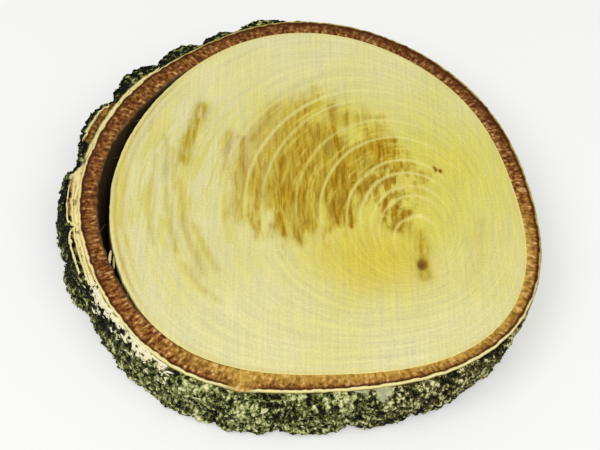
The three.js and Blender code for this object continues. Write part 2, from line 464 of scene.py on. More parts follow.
# rows run from the pith out over the top face, down the rim and in again underneath
def makeSawnWood():
    angle = np.arange(wood["angles"]) * 360 / wood["angles"]
    top = cut["thickness"]
    whole = trunk["woodRadius"]
    edge = wood["rimRound"]
    turn = np.radians([22.5, 45, 67.5, 90])
    rim = whole - edge + edge * np.sin(turn)
    rimDrop = edge - edge * np.cos(turn)
    topRows, wallRows, undersideRows = [wood[k] for k in ("topRows", "wallRows", "undersideRows")]
    wallHeights = np.linspace(top - edge, edge, wallRows + 2)[1:-1]
    radii = np.concatenate([np.linspace(0, whole - edge, topRows), rim, np.full(wallRows, whole),
                            rim[::-1], np.linspace(whole - edge, 0, undersideRows)])
    heights = np.concatenate([np.full(topRows, top), top - rimDrop, wallHeights, rimDrop[::-1],
                              np.zeros(undersideRows)])
    radius, angles = np.meshgrid(radii, angle, indexing="ij")
    height = np.broadcast_to(heights[:, None], radius.shape).copy()
    x, y = ringPoint(radius, angles)
    onTop = height > top / 2
    flat = np.stack([x, y, np.where(onTop, 0, wood["underFace"])], axis=-1)
    pithRise, pithHeight = wood["pithOval"]
    fromPith = np.hypot(x - wood["pith"][0], (y - wood["pith"][1] - pithRise) / pithHeight)
    # the face isn't quite flat: a slow swell and a hollow at the pith, both fading out at the rim
    inward = smoothStep(whole - radius, 0, 4)
    swellRise, swellSize = wood["swell"]
    swell = swellRise * layeredNoise(flat, swellSize, 3) * inward
    swell = swell - wood["hollow"] * np.exp(-(fromPith / 0.7) ** 2)
    # the rim wanders a little where the bark has torn away from it
    torn = smoothStep(crackWidth(angles), 0.05, 0.8) * smoothStep(radius, whole - 3, whole)
    wanderRise, wanderSize = wood["tornRim"]
    wander = wanderRise * torn * layeredNoise(np.stack([x, y, height], axis=-1), wanderSize, 11)
    height += np.where(onTop, swell, swellRise - swell) * (radius < whole)
    scale = (1 - taperAt(height) / whole) * (1 + wander / whole)
    depth = 1 - height / top
    grid = np.stack([x * scale + trunk["lean"][0] * depth + cut["centre"][0],
                     y * scale + trunk["lean"][1] * depth + cut["centre"][1], height], axis=-1) * mm

    # the stain: a window of angle on each ring, ragged at both ends, in patches between the rings
    ragged = angles + stain["ragged"] * layeredNoise(flat, (2.6, 6, 5), 23, 3)
    start, end, strength, depthOfStain = [np.interp(radius, stain["ring"], stain[k])
                                          for k in ("start", "end", "strength", "depth")]
    window = smoothStep(ragged, start - 18, start + 14) * smoothStep(ragged, end + 14, end - 10)
    patches = 0.85 + 0.3 * layeredNoise(flat, (3, 8, 5), 29, 2)
    stained = np.clip(window * strength * patches * smoothStep(radius, 4, 7), 0, 1)
    # near the pith it is broken into dashes
    dashes = smoothStep(layeredNoise(flat, (1.2, 2.4, 5), 31, 2), 0.1, -0.25) * smoothStep(radius, 18, 15)
    stained = stained * (1 - 0.9 * dashes)
    lowPatch = ovalZone(x, y, wood["lowPatch"], 1)
    fadeRight = smoothStep(x, 26, 17)
    sideways = 0.5 * layeredNoise(flat, (2.2, 5, 5), 37, 2)
    dark = drawStreaks(x + sideways, y, darkStreaks)
    gold = drawStreaks(x + sideways, y, goldStreaks)
    # the last wood that grew: pale at the very edge and golden just inside it, most where bark is torn
    loose = smoothStep(crackWidth(angles), 0.1, 1.2)
    rimX, rimY = ringPoint(whole, angles)
    fromRim = np.hypot(rimX - x, rimY - y)
    wavy = fromRim + 0.45 * layeredNoise(roundTrunk(angles, 0), 5, 43, 2)
    rimGold = sum((held + more * loose) * np.exp(-((wavy - distance) / width) ** 2)
                  for held, more, distance, width in wood["rimGold"])
    growth = roundTrunk(angles, radius) * (0.04, 0.04, 1)  # long round the rings and short across them
    ringShow = 0.22 + 0.78 * span(angles, 50, 190, 60)
    wideRings = span(angles, 138, 208, 44) * smoothStep(radius, 28, 36)
    values = {"age": radius, "growth": growth, "stain": stained, "darkStreak": np.clip(dark, 0, 1),
              "depth": np.clip(depthOfStain + 0.35 * lowPatch, 0, 1) * (0.15 + 0.85 * fadeRight),
              "goldStreak": np.clip(gold, 0, 1), "rimGold": np.clip(rimGold, 0, 1),
              "heart": ovalZone(x, y, wood["yellowZone"]), "golden": ovalZone(x, y, wood["goldenZone"]),
              "pith": 0.95 * np.exp(-(fromPith / 1.2) ** 4),
              "paleRim": 0.7 * np.exp(-(fromRim / 0.5) ** 2),
              "ringShow": ringShow, "wideRings": wideRings,
              "wall": ((radius >= whole) & (height > 0.3) & (height < top - 0.3)).astype(float)}
    return gridMesh("sawn_wood", grid, True, values)


# fresh-sawn birch, left bare: matt cream wood that yellows round the heart, a brown water stain that the
# pale autumn wood of each year interrupts, and faint straight marks of the saw
sawnLook = {
    "cream": "#e6dfa6", "yellow": "#dbd05e", "amber": "#d8c234", "gold": "#b89e1e", "olive": "#cec252",
    "stain": "#c29e16", "dark": "#835004", "pale": "#efe598", "rim": "#c9ae42", "pith": "#774c0c",
    "wall": "#5c4a30", "brightness": 0.44,  # before the grain adds to it
    "rings": ((7.3, 1.0), (10.6, 0.9), (12.2, 0.9), (14.6, 1.0), (16.9, 1.0), (21.7, 1.0), (25.7, 0.7),
              (30.6, 0.85), (33.0, 1.0), (36.4, 0.7)),  # ring radius in mm, and how plainly it shows
    "ringWidth": 0.5, "rampSpan": 50,  # all in mm, but for tilts in degrees
    "mottle": 16, "streakWidth": 0.9, "streakLength": 6, "streakTilt": -4, "fineRing": 0.8,
    "sawWidth": 0.6, "sawLength": 14, "sawTilt": -2, "pore": 0.5,  # pores coarser than life, so they show
    "deepest": 0.72, "goldenMost": 0.75, "ringPaleMost": 0.5,  # shares of colour laid on at most
}


# colours laid over the cream one by one, each by its share, and the result times a faint brightness
def paintSawnWood():
    look, hue = sawnLook, coloursOf(sawnLook)
    material, add = newMaterial("sawn birch", 0.62)
    spot = add("TexCoord", out="Object")
    fields = ("age", "stain", "depth", "darkStreak", "goldStreak", "rimGold", "heart", "golden", "pith",
              "paleRim", "ringShow", "wideRings", "wall")
    at = {name: add("Attribute", out="Fac", attribute_name=name) for name in fields}
    growth = add("Attribute", out="Vector", attribute_name="growth")
    mottle = add("TexNoise", {"Vector": spot, "Scale": 1 / (look["mottle"] * mm), "Detail": 2})
    pore = add("TexNoise", {"Vector": spot, "Scale": 1 / (look["pore"] * mm), "Detail": 1})
    stretched = add("Mapping", {"Vector": spot, "Rotation": (0, 0, math.radians(look["streakTilt"])),
                    "Scale": (1 / (look["streakWidth"] * mm), 1 / (look["streakLength"] * mm), 1)})
    streak = add("TexNoise", {"Vector": stretched, "Scale": 1, "Detail": 3, "Roughness": 0.6})
    sawn = add("Mapping", {"Vector": spot, "Rotation": (0, 0, math.radians(look["sawTilt"])),
               "Scale": (1 / (look["sawWidth"] * mm), 1 / (look["sawLength"] * mm), 1)})
    saw = add("TexNoise", {"Vector": sawn, "Scale": 1, "Detail": 2})
    drift = add("TexNoise", {"Vector": growth, "Scale": 0.5, "Detail": 2})
    ringGrain = add("TexNoise", {"Vector": growth, "Scale": 1 / look["fineRing"], "Detail": 3,
                    "Roughness": 0.6})
    # the pale rings: a pulse on a ramp of the ring radius at each ring, shifted a little by the drift
    shifted = add("Math", (drift, 0.8, at["age"]), **plus)
    shifted = add("Math", (shifted, look["rampSpan"]), operation="DIVIDE")
    pulses = add("ValToRGB", (shifted,))
    ramp = pulses.node.color_ramp
    ramp.interpolation = "EASE"
    for ring, plainness in look["rings"]:
        for offset, value in ((-1, 0), (0, plainness), (1, 0)):
            stop = ramp.elements.new((ring + 0.4 + offset * look["ringWidth"]) / look["rampSpan"])
            stop.color = (value, value, value, 1)
    ramp.elements[-1].color = (0, 0, 0, 1)
    paleRing = add("Math", (pulses, at["ringShow"]), **times)
    # fainter rings between them
    faintRing = add("MapRange", (ringGrain, 0.54, 0.64, 0, 0.55), **eased)
    anyRing = add("Math", (paleRing, faintRing), operation="MAXIMUM")
    unringed = add("Math", (anyRing, -0.85, 1.0), **plus)
    # the streaks break the stain up, and it is weak on the pale rings
    cover = add("MapRange", (streak, 0.33, 0.55, 0.35, 1.0), **eased)
    sheer = add("Math", (at["stain"], 0.65, cover), **plus, use_clamp=True)
    cover = add("Math", (sheer, at["stain"]), **times)
    under = add("Math", (at["darkStreak"], 1.4), **times, use_clamp=True)
    cover = add("Math", (cover, under), operation="MAXIMUM")
    cover = add("Math", (cover, unringed), **times)
    # and it is deepest on the small rings, in the low patch and along single streaks
    deep = add("MapRange", (streak, 0.42, 0.62, -0.4, 0.85))
    deep = add("Math", (deep, at["depth"]), operation="ADD", use_clamp=True)
    for share in (cover, look["deepest"]):
        deep = add("Math", (deep, share), **times)
    alone = add("MapRange", (streak, 0.3, 0.65, 0.15, 0.8))
    alone = add("Math", (at["darkStreak"], alone), **times)
    alone = add("Math", (alone, unringed), **times)
    deep = add("Math", (deep, alone), operation="MAXIMUM")
    knots = add("MapRange", (at["darkStreak"], 0.92, 0.99))
    pithShare = add("Math", (knots, at["pith"]), operation="MAXIMUM")
    yellow = add("MapRange", (mottle, 0.3, 0.7, -0.2, 0.2))
    yellow = add("Math", (at["heart"], yellow), operation="ADD")
    for value, share in ((at["stain"], 0.5), (ringGrain, 0.4), (saw, 0.8)):
        yellow = add("Math", (value, share, yellow), **plus)
    yellow = add("Math", (yellow, 0.5), operation="SUBTRACT", use_clamp=True)
    wide = add("MapRange", (ringGrain, 0.48, 0.6, 0, 0.62), **eased)
    wide = add("Math", (wide, at["wideRings"]), **times)
    goldShare = add("MapRange", (streak, 0.34, 0.58, 0.3, 1.0))
    goldShare = add("Math", (at["goldStreak"], goldShare), **times)
    zone = add("Math", (at["golden"], look["goldenMost"]), **times)
    ringPale = add("Math", (paleRing, look["ringPaleMost"]), **times)
    colour = hue["cream"]
    for factor, name in ((yellow, "yellow"), (zone, "amber"), (wide, "olive"), (goldShare, "gold"),
                         (ringPale, "pale"), (cover, "stain"), (deep, "dark"), (at["rimGold"], "rim"),
                         (at["paleRim"], "pale"), (pithShare, "pith"), (at["wall"], "wall")):
        colour = add("Mix", {0: factor, 6: colour, 7: hue[name]}, **asColour)
    # faint changes of brightness: saw marks, pores and the grain of the rings
    bright = look["brightness"]
    for value, share in ((ringGrain, 0.42), (saw, 0.42), (pore, 0.3)):
        bright = add("Math", (value, share, bright), **plus)
    colour = add("VectorMath", {0: colour, "Scale": bright}, operation="SCALE")
    relief = add("Math", (pore, 0.5, saw), **plus)
    return joinShader(material, add, colour, relief, 0.25, 0.12)


finishPiece(makeSawnWood(), paintSawnWood())

# the inner bark: a ring of living bark with a papery skin on its outside
innerBark = {
    "angles": 900,
    "rows": (14, 34, 14, 26),  # up the inside, over the top, down the outside, back underneath
    "granule": 0.8,  # size of the grains that the saw leaves
    "granuleRise": 0.16,
    "skin": 0.45,  # thickness of the papery skin
    "tuck": 0.2,  # how far it reaches under the wood's rim where it still holds on
    "wander": (0.34, 0.16),  # how far its torn inside edge and its outside edge wander
    "crackLevels": (2.5, 14),  # the crack widens between these heights
    "chip": (250.5, 255.5, 4),  # where brown bark comes through the skin: start, end, fade
}


# a ring's grid: the share of the way out, the share of the way up, and the angle
def ringGrid(piece):
    inside, over, outside, under = piece["rows"]
    up = np.linspace(0, 1, inside + 2)[1:-1]
    down = np.linspace(1, 0, outside + 2)[1:-1]
    share = np.concatenate([np.zeros(inside), np.linspace(0, 1, over), np.ones(outside),
                            np.linspace(1, 0, under)])
    level = np.concatenate([up, np.ones(over), down, np.zeros(under)])
    angle = np.arange(piece["angles"]) * 360 / piece["angles"]
    share, angles = np.meshgrid(share, angle, indexing="ij")
    return share, np.broadcast_to(level[:, None], share.shape), angles


# inside edge along the wood or, where torn, a crack's width away and narrowing downwards; outside edge
# past the gap by the living bark's thickness and any swelling
def innerBarkEdges(angle, height):
    loose = smoothStep(crackWidth(angle), 0.02, 0.4)
    foot = trunk["crackFoot"]
    openShare = foot + (1 - foot) * smoothStep(height, *innerBark["crackLevels"])
    edge = woodEdge(angle) - taperAt(height)
    inside = edge + crackWidth(angle) * openShare - innerBark["tuck"] * (1 - loose)
    return inside, barkBase(angle, height) + innerBarkSwelling(angle), loose


# the ring's radius goes by its share from inside to outside edge, and the saw leaves its top grainy
def makeInnerBark():
    share, level, angles = ringGrid(innerBark)
    height = level * cut["thickness"]
    inside, outside, loose = innerBarkEdges(angles, height)
    radius = inside + (outside - inside) * share
    around = roundTrunk(angles, height, radius)
    # both edges wander, the inner one most where it has torn loose
    rag = layeredNoise(around, (1.6, 1.6, 5), 41)
    wanderInside, wanderOutside = innerBark["wander"]
    radius = radius + rag * (wanderInside * loose * (1 - share) ** 2 + wanderOutside * share ** 2)
    grains = layeredNoise(around, innerBark["granule"], 47, 2)
    onTop = level >= 1
    under = level <= 0
    thickness = np.maximum(outside - inside, 0.1)
    fromOutside = (1 - share) * thickness
    edge = np.minimum(share * thickness, fromOutside)
    drop = 0.3 * np.exp(-(edge / 0.12) ** 2) + innerBark["granuleRise"] * (0.6 - grains)
    skin = smoothStep(fromOutside + 0.22 * rag, innerBark["skin"] + 0.12, innerBark["skin"] - 0.12)
    chip = span(angles, *innerBark["chip"])
    skin = skin * (1 - 0.8 * chip)
    drop = drop - 0.16 * skin
    height = np.where(onTop, height - np.maximum(drop, -0.1),
                      np.where(under, np.maximum(drop, 0), height))
    grid = place(radius, angles, height)
    # the side away from the crack is golden inside, and the back is the darkest
    values = {"across": share * (1 - 0.7 * chip), "skin": skin, "fromOutside": fromOutside + 1.5 * chip,
              "loose": loose, "golden": span(angles, 238, 352, 24),
              # painted shade: a dark line along the inside edge where the crack closes to a hairline
              "crackShadeLine": span(angles, 185, 250, 14) * np.exp(-(share * thickness / 0.4) ** 2),
              "back": np.maximum(span(angles, 15, 118, 30), 0.6 * span(angles, 100, 215, 30)),
              "brightSkin": span(angles, 130, 330, 30), "wall": (~onTop & ~under).astype(float),
              "ray": roundTrunk(angles, radius * 0.35 + height * 0.5)}
    return gridMesh("inner_bark", grid, False, values)


# birch inner bark cut across: stone cells make it grainy, rust brown with pale grains that line up as
# rays, a dark seam outside them and a skin like cream paper
innerLook = {
    "dark": "#562a0c", "mid": "#a2682a", "light": "#e6c07c", "gold": "#cfa444", "seam": "#451604",
    "deep": "#4f2408", "skin": "#f4e7a0", "dullSkin": "#bfae56", "wall": "#54412a",
    "grain": 1.0, "ray": 0.8,  # in mm
}


# two noises averaged choose between dark, mid and light, and the rest is laid over them by its share
def paintInnerBark():
    look, hue = innerLook, coloursOf(innerLook)
    material, add = newMaterial("birch inner bark", 0.75)
    spot = add("TexCoord", out="Object")
    fields = ("across", "skin", "fromOutside", "loose", "golden", "back", "brightSkin", "crackShadeLine", "wall")
    at = {name: add("Attribute", out="Fac", attribute_name=name) for name in fields}
    rayPlace = add("Attribute", out="Vector", attribute_name="ray")
    grain = add("TexNoise", {"Vector": spot, "Scale": 1 / (look["grain"] * mm), "Detail": 2})
    ray = add("TexNoise", {"Vector": rayPlace, "Scale": 1 / look["ray"], "Detail": 2, "Roughness": 0.6})
    cells = add("Math", (grain, ray), operation="ADD")
    cells = add("Math", (cells, 0.5), **times)
    midShare = add("MapRange", (cells, 0.41, 0.54), **eased)
    lightShare = add("MapRange", (cells, 0.54, 0.63, 0, 0.85), **eased)
    # gold fades outwards from the inside edge
    goldShare = add("MapRange", (at["across"], 0.8, 0.0, 0, 1.2))
    goldShare = add("Math", (goldShare, at["golden"]), **times)
    uneven = add("MapRange", (cells, 0.36, 0.6, 0.35, 1.1))
    goldShare = add("Math", (goldShare, uneven), **times, use_clamp=True)
    # the back is darker, and most so on its outer side
    backShare = add("MapRange", (at["across"], 0.2, 0.8, 0.3, 0.85), **eased)
    backShare = add("Math", (backShare, at["back"]), **times)
    # a dark seam near the outside, and painted shade in a line along the inside edge where the crack
    # closes
    seamAndCrackShade = add("MapRange", (at["fromOutside"], 1.35, 0.75, 0, 0.9), **eased)
    seamAndCrackShade = add("Math", (seamAndCrackShade, at["crackShadeLine"]), operation="MAXIMUM")
    # where it has torn loose its inside edge is darkened towards the wall colour: painted shade of the
    # crack
    crackEdgeShade = add("MapRange", (at["across"], 0.2, 0.0, 0, 0.9))
    crackEdgeShade = add("Math", (crackEdgeShade, at["loose"]), **times)
    skinColour = add("Mix", {0: at["brightSkin"], 6: hue["dullSkin"], 7: hue["skin"]}, **asColour)
    colour = hue["dark"]
    for factor, over in ((midShare, hue["mid"]), (goldShare, hue["gold"]), (lightShare, hue["light"]),
                         (backShare, hue["deep"]), (seamAndCrackShade, hue["seam"]), (crackEdgeShade, hue["wall"]),
                         (at["skin"], skinColour), (at["wall"], hue["wall"])):
        colour = add("Mix", {0: factor, 6: colour, 7: over}, **asColour)
    return joinShader(material, add, colour, cells, 0.6, 0.3)


finishPiece(makeInnerBark(), paintInnerBark())

# the outer bark: corky plates with fissures, crusted with lichen, and nearly smooth at the back
outerBark = {
    "angles": 1080,
    "rows": (4, 16, 50, 14),  # as for the inner bark
    "smoothSkin": 0.3,  # thickness where there are no plates
    "wander": (2.4, (6, 6, 5)),  # how many degrees the plates' ends wander, and the size of that
    "plateSize": (3.4, 3.4, 4.2),  # the fissures' spacing round the trunk and along it
    "plateWarp": (1.1, 3),  # how far the fissures bend, and the size of the bends
    "fissureWidth": (0.02, 0.3),
    "fissureDepth": 0.55,
    "lumpSize": 2.6,
    "lumpRise": 0.42,
    "shaggyLump": 1.05,  # how much more the lumps rise beside the crack
    "shaggySide": (160, 70),  # middle and reach of that side
    "crustSize": 0.8,
    "crustRise": 0.42,
    # brown and papery layers on the top face: start and end angle, distance from the living bark, reach
    "strips": ((147, 166, 1.7, 0.95), (187, 207, 1.6, 0.5), (174, 186, 2.0, 0.6)),
    "papers": ((137, 168, 0.3, 0.7), (150, 165, 3.0, 0.6)),
    "paperPatch": (170, 207),  # where it is papery right across
    "whitePatch": (203, 238, 14),  # white paper below: start, end, fade
    "greyPatch": (276, 288, 6),  # one grey-green patch
    # painted shade on the upper wall at the back and left: start, end and fade
    "paintedSideShade": (102, 226, 36),
    "browned": (284, 326, 24),
}


# the outside's radius: the plates' rise at an angle that wanders with height, plus lumps and crust and
# less fissures, which follow the places where two scattered points are equally near
def outerBarkSurface(angle, height):
    base = barkBase(angle, height)
    at = roundTrunk(angle, height)
    wanderReach, wanderSize = outerBark["wander"]
    wander = wanderReach * layeredNoise(at, wanderSize, 61, 2)
    rise = 0.75 * plateRise(angle + wander) + 0.25 * plateRise(angle - wander + 3)
    rough = 0.12 + 0.88 * smoothStep(rise + 0.5 * layeredNoise(at, 2.5, 67, 2), 0.2, 1.4)
    warpReach, warpSize = outerBark["plateWarp"]
    warp = np.stack([layeredNoise(at, warpSize, seed, 2) for seed in (71, 73, 79)], axis=-1)
    first, second = nearestTwo(at + warpReach * warp, outerBark["plateSize"], 83)
    fissure = 1 - smoothStep(second - first, *outerBark["fissureWidth"])
    shaggyMiddle, shaggyReach = outerBark["shaggySide"]
    shaggy = bump(turnFrom(shaggyMiddle, angle), shaggyReach)
    lumps = layeredNoise(at, outerBark["lumpSize"], 89, 3, 0.6)
    crust = layeredNoise(at, outerBark["crustSize"], 97, 2)
    relief = rough * ((outerBark["lumpRise"] + outerBark["shaggyLump"] * shaggy) * lumps
                      + outerBark["crustRise"] * crust - outerBark["fissureDepth"] * fissure)
    radius = base + outerBark["smoothSkin"] + rise * plateShare(angle, height) + relief
    return radius, base, rough, relief


# the ring's radius goes by its share from just under the living bark's outside to the rough surface, and
# its top is pitted and chipped
def makeOuterBark():
    share, level, angles = ringGrid(outerBark)
    top = cut["thickness"]
    ends = layeredNoise(roundTrunk(angles, level * top), 3, 101, 2)
    topEdge = top - 0.15 - (1 - flushShare(angles)) * (0.45 + 0.45 * ends)
    height = level * topEdge
    outside, base, rough, relief = outerBarkSurface(angles, height)
    cover = base + innerBarkSwelling(angles)
    outside = np.maximum(outside, cover + 0.08)
    inside = cover - 0.35
    radius = inside + (outside - inside) * share
    onTop = level >= 1
    under = level <= 0
    pits = layeredNoise(roundTrunk(angles, height, radius), 1.3, 107, 3, 0.6)
    drop = 0.25 + 0.3 * pits + 0.6 * smoothStep(share, 0.7, 1) * np.minimum(outside - inside, 3) / 3
    drop = np.maximum(drop, 0) * smoothStep(share, 0, 0.1)
    lift = np.maximum(0.12 + 0.12 * pits, 0) * smoothStep(share, 0, 0.1)
    height = np.where(onTop, height - drop, np.where(under, lift, height))
    grid = place(radius, angles, height)
    # brown layers between papery ones on the top face, white paper below, and painted shade that darkens
    # the crust outside, high on the back and left
    toEdge = outside - radius
    wavy = radius - cover + 0.25 * pits
    strips, papers = [[span(angles, start, end) * bump(wavy - distance, reach)
                       for start, end, distance, reach in outerBark[k]] for k in ("strips", "papers")]
    across = span(angles, *outerBark["paperPatch"]) * smoothStep(wavy, 3.1, 2.5)
    paper = np.max(papers + [across], axis=0) * smoothStep(toEdge, 0.5, 1.1)
    peeled = span(angles, *outerBark["whitePatch"]) * smoothStep(wavy, 3.6, 1.2)
    values = {"rough": rough, "relief": relief, "white": peeled * smoothStep(height, 9.5, 14),
              "paper": np.clip(paper, 0, 1) * onTop,
              "strip": np.clip(sum(strips), 0, 1) * onTop * smoothStep(toEdge, 0.4, 0.9),
              "greyPatch": span(angles, *outerBark["greyPatch"]) * smoothStep(height, 12.3, 13.6),
              # painted shade: darkens the upper wall on the back and left
              "paintedSideShade": span(angles, *outerBark["paintedSideShade"]) * smoothStep(height, 3, 9),
              "browned": span(angles, *outerBark["browned"])}
    return gridMesh("outer_bark", grid, False, values)


# old birch bark: black cork in the fissures, grey-green lichen and moss on the plates, white paper where
# it peels, and at the back smooth olive-grey skin with short level pores
outerLook = {
    "black": "#0b0d05", "cork": "#40441e", "moss": "#747a3c", "lichen": "#c2c488", "crumb": "#efe9b6",
    "brown": "#5a4320", "paper": "#f5e8a8", "white": "#f6efcb", "strip": "#a9702a",
    "stripDark": "#6f3f10", "smooth": "#a39a66", "grey": "#c4c79c", "pore": "#4b3d24",
    "patch": 1.25, "tear": 3.0, "tint": 7, "poreLength": 3.5, "poreHeight": 0.6,  # in mm
    "patchScale": (1.25, 1.25, 0.75),  # flecks higher than wide, as the cork splits along the trunk
}


# a level made of noises and relief climbs from black to crumb in steps, and the rest is laid over them
def paintOuterBark():
    look, hue = outerLook, coloursOf(outerLook)
    material, add = newMaterial("birch outer bark", 0.85)
    spot = add("TexCoord", out="Object")
    fields = ("rough", "relief", "strip", "paper", "white", "greyPatch", "paintedSideShade", "browned")
    at = {name: add("Attribute", out="Fac", attribute_name=name) for name in fields}
    flat = add("Mapping", {"Vector": spot, "Scale": look["patchScale"]})
    patch = add("TexNoise", {"Vector": flat, "Scale": 1 / (look["patch"] * mm), "Detail": 4,
                "Roughness": 0.68})
    tear = add("TexNoise", {"Vector": spot, "Scale": 1 / (look["tear"] * mm), "Detail": 3})
    tint = add("TexNoise", {"Vector": spot, "Scale": 1 / (look["tint"] * mm), "Detail": 1})
    # painted shade on the back and left lowers the level there, towards black
    level = patch
    for value, share in ((at["relief"], 0.08), (tint, 0.24), (at["paintedSideShade"], -0.095),
                         (at["browned"], -0.012)):
        level = add("Math", (value, share, level), **plus)
    mossColour = add("Mix", {0: at["browned"], 6: hue["moss"], 7: hue["brown"]}, **asColour)
    colour = hue["black"]
    for lowEnd, highEnd, over in ((0.535, 0.58, hue["cork"]), (0.58, 0.63, mossColour),
                                  (0.64, 0.69, hue["lichen"]), (0.715, 0.765, hue["crumb"])):
        share = add("MapRange", (level, lowEnd, highEnd), **eased)
        colour = add("Mix", {0: share, 6: colour, 7: over}, **asColour)
    # smooth skin where there are no plates, with level pores
    poreLength, poreHeight = 1 / (look["poreLength"] * mm), 1 / (look["poreHeight"] * mm)
    poreMap = add("Mapping", {"Vector": spot, "Scale": (poreLength, poreLength, poreHeight)})
    pores = add("TexNoise", {"Vector": poreMap, "Scale": 1, "Detail": 1})
    pores = add("MapRange", (pores, 0.6, 0.68), **eased)
    smoothColour = add("Mix", {0: pores, 6: hue["smooth"], 7: hue["pore"]}, **asColour)
    smoothShare = add("MapRange", (at["rough"], 0.5, 0.14, 0, 0.9))
    # white paper and the grey patch end in crisp torn edges
    whiteShare = add("Math", (at["white"], 0.45, tear), **plus)
    whiteShare = add("MapRange", (whiteShare, 0.865, 0.895), **eased)
    greyShare = add("Math", (at["greyPatch"], 0.35, tear), **plus)
    greyShare = add("MapRange", (greyShare, 0.76, 0.84, 0, 0.7), **eased)
    mottled = add("MapRange", (patch, 0.42, 0.58), **eased)
    stripColour = add("Mix", {0: mottled, 6: hue["stripDark"], 7: hue["strip"]}, **asColour)
    for factor, over in ((smoothShare, smoothColour), (greyShare, hue["grey"]),
                         (whiteShare, hue["white"]), (at["paper"], hue["paper"]),
                         (at["strip"], stripColour)):
        colour = add("Mix", {0: factor, 6: colour, 7: over}, **asColour)
    return joinShader(material, add, colour, patch, 0.8, 0.5)


finishPiece(makeOuterBark(), paintOuterBark())

# papery layers that stand a little proud of the plates where the bark has split into leaves
paperLeaves = {
    # start and end angle, distance from the living bark, thickness
    "leaves": ((133, 168, 0.3, 0.6), (150, 163, 2.9, 0.38), (171, 208, 0.5, 0.8), (172, 207, 1.25, 0.5),
               (177, 203, 2.5, 0.4), (203, 221, 0.7, 0.75), (220, 236, 0.3, 0.45)),
    "stations": 90,
    "section": 10,
    "depth": 3.2,  # how far each reaches down
    "proud": 0.12,  # how far it stands above the top face
    "whiteFrom": 200,  # the angle past which leaves are whiter and more torn
}


# a leaf follows the living bark's outside at its distance; its section is a rounded
# upright slab whose top edge is torn by a noise, and it thins to nothing at both ends
def makePaperLeaves():
    leaves = np.array(paperLeaves["leaves"])[:, :, None, None]
    share = np.linspace(0, 1, paperLeaves["stations"])[None, :, None]
    start, end, distance, thickness = leaves[:, 0], leaves[:, 1], leaves[:, 2], leaves[:, 3]
    angles = start + (end - start) * share
    ends = np.sqrt(np.clip(1 - np.abs(2 * share - 1) ** 6, 0, 1))
    at = roundTrunk(angles, distance * 9)
    top = cut["thickness"] + paperLeaves["proud"] * (0.4 + layeredNoise(at, 2.6, 131, 2))
    whiter = start > paperLeaves["whiteFrom"]
    top = top - np.maximum(0, layeredNoise(at, 3.4, 137, 2) - 0.12) * np.where(whiter, 1.5, 0.8)
    side = np.linspace(0, 2 * np.pi, paperLeaves["section"], endpoint=False)[None, None, :]
    out = np.cos(side) * np.abs(np.cos(side)) ** -0.4 * thickness / 2 * ends
    half = paperLeaves["depth"] / 2 * ends
    height = top - half + np.sign(np.sin(side)) * np.abs(np.sin(side)) ** 0.6 * half
    base = barkBase(angles, height) + innerBarkSwelling(angles)
    # it wanders, and stays behind the plates' own outside
    middle = distance + 0.3 * layeredNoise(at, 4, 139, 2)
    outside, under = outerBarkSurface(angles, cut["thickness"] - 2.5 + 0 * angles)[:2]
    room = outside - under - innerBarkSwelling(angles) - thickness / 2 - 0.3
    middle = np.minimum(middle, np.maximum(room, 0.1))
    ripple = 0.12 * layeredNoise(roundTrunk(angles, height), 1.2, 149, 2)
    grid = place(base + middle + ripple + out, angles, height)
    values = {"tone": 0.5 + 0.5 * layeredNoise(roundTrunk(angles, height), 1.5, 151, 2) + height * 0,
              "whiter": whiter + height * 0}
    return gridMesh("paper_leaves", grid, True, values)


# outer skin of birch torn into leaves: thin, matt and cream to white, with soiled spots
paperLook = {"cream": "#f6e8a6", "white": "#f7f0cc", "soil": "#8c7234", "spot": 0.9}


# cream or white, with soil where a noise less the tone is high
def paintPaperLeaves():
    look, hue = paperLook, coloursOf(paperLook)
    material, add = newMaterial("birch paper skin", 0.7)
    spot = add("TexCoord", out="Object")
    whiter = add("Attribute", out="Fac", attribute_name="whiter")
    tone = add("Attribute", out="Fac", attribute_name="tone")
    soil = add("TexNoise", {"Vector": spot, "Scale": 1 / (look["spot"] * mm), "Detail": 3})
    soilShare = add("Math", (tone, -0.25, soil), **plus)
    soilShare = add("MapRange", (soilShare, 0.46, 0.56, 0, 0.8), **eased)
    colour = add("Mix", {0: whiter, 6: hue["cream"], 7: hue["white"]}, **asColour)
    colour = add("Mix", {0: soilShare, 6: colour, 7: hue["soil"]}, **asColour)
    return joinShader(material, add, colour, soil, 0.5, 0.15)


finishPiece(makePaperLeaves(), paintPaperLeaves())

# crumbs of cork, moss and lichen on the plates
crumbs = {
    "count": 1400,
    "where": (96, 326),
    "heights": (0.7, 14.4),
    "width": (0.45, 1.2),
    "tall": (0.4, 1.1),
    "thick": (0.2, 0.5),
    "tilt": 0.3,
    "seed": 7,
}
# chips of white paper skin that still cling where the bark has peeled
chips = {
    "count": 64,
    "where": (203, 239),
    "heights": (9.6, 14.2),
    "width": (0.8, 2.3),
    "tall": (0.5, 1.3),
    "thick": (0.25, 0.45),
    "tilt": 0.35,
    "seed": 12,
}
flakeShape = {"sides": 8, "rings": ((0.0, -1.0), (0.8, -0.5), (1.0, 0.1), (0.7, 0.8), (0.0, 1.0))}


